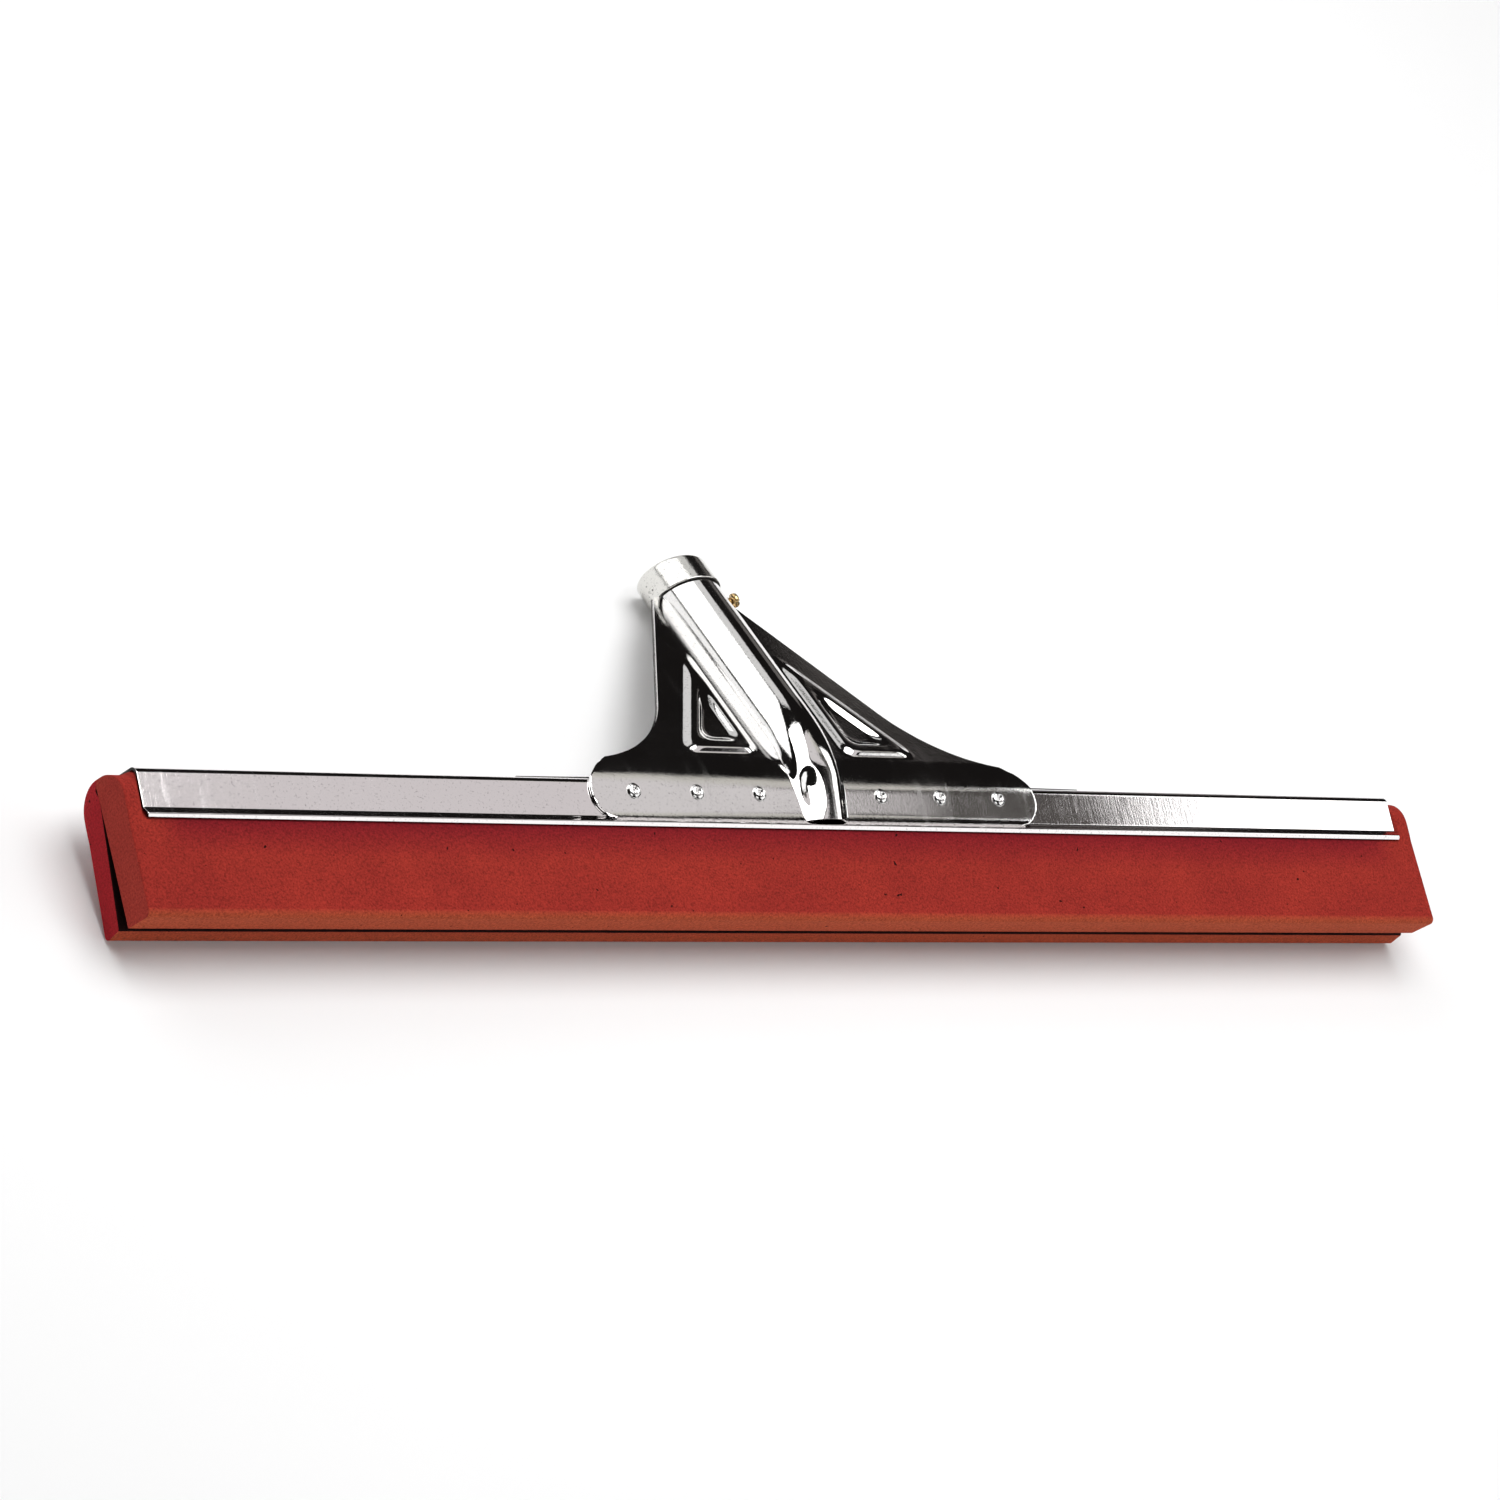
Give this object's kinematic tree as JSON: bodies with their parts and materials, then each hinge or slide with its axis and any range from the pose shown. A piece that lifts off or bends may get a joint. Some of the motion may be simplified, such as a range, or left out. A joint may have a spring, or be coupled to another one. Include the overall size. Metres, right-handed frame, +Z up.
{
  "type": "squeegee head",
  "caption": "Wide squeegee head for a pole: folded moss-rubber blade in a steel channel, riveted to a pressed-steel bracket with a leaning round socket.",
  "frame": {"origin": "centre of the bounding box's base, on the floor that the head lies on", "axes": "+X along the blade, +Y from the wiping edge towards the socket's mouth, +Z up out of the front face"},
  "size_m": [0.75, 0.203, 0.06],
  "materials": {
    "moss_rubber": "matt, with a fine open-pored skin",
    "channel_steel": "bright zinc plating with rolling marks",
    "bracket_steel": "bright plating over pressed sheet",
    "collar_steel": "bright plating, lightly scuffed",
    "rivet_steel": "bright plating",
    "brass": "turned, slightly dull"
  },
  "bodies": {
    "head": {"rubber_crown": "moss_rubber", "channel": "channel_steel", "bracket_front": "bracket_steel", "bracket_rear": "bracket_steel", "collar": "collar_steel", "rivet_1": "rivet_steel", "rivet_2": "rivet_steel", "rivet_3": "rivet_steel", "rivet_4": "rivet_steel", "rivet_5": "rivet_steel", "rivet_6": "rivet_steel"},
    "front_lip": {"lip_front": "moss_rubber"},
    "rear_lip": {"lip_rear": "moss_rubber"},
    "screw": {"clamp_screw": "brass"}
  },
  "joints": [
    {"name": "lip_front_flex", "type": "hinge", "parent": "head", "child": "front_lip", "pos_m": [0, -0.06438, 0.03272], "axis": [1, 0, 0], "range_deg": [-12, 12], "stiffness_Nm_per_rad": 9},
    {"name": "lip_rear_flex", "type": "hinge", "parent": "head", "child": "rear_lip", "pos_m": [0, -0.05975, 0.01573], "axis": [1, 0, 0], "range_deg": [-12, 12], "stiffness_Nm_per_rad": 9},
    {"name": "screw_turn", "type": "hinge", "parent": "head", "child": "screw", "pos_m": [0, 0.07494, 0.02307], "axis": [0.9063, 0.0933, 0.4122], "continuous": true}
  ],
  "couplings": [
    {"joint": "lip_rear_flex", "follows": "lip_front_flex", "ratio": 1}
  ]
}
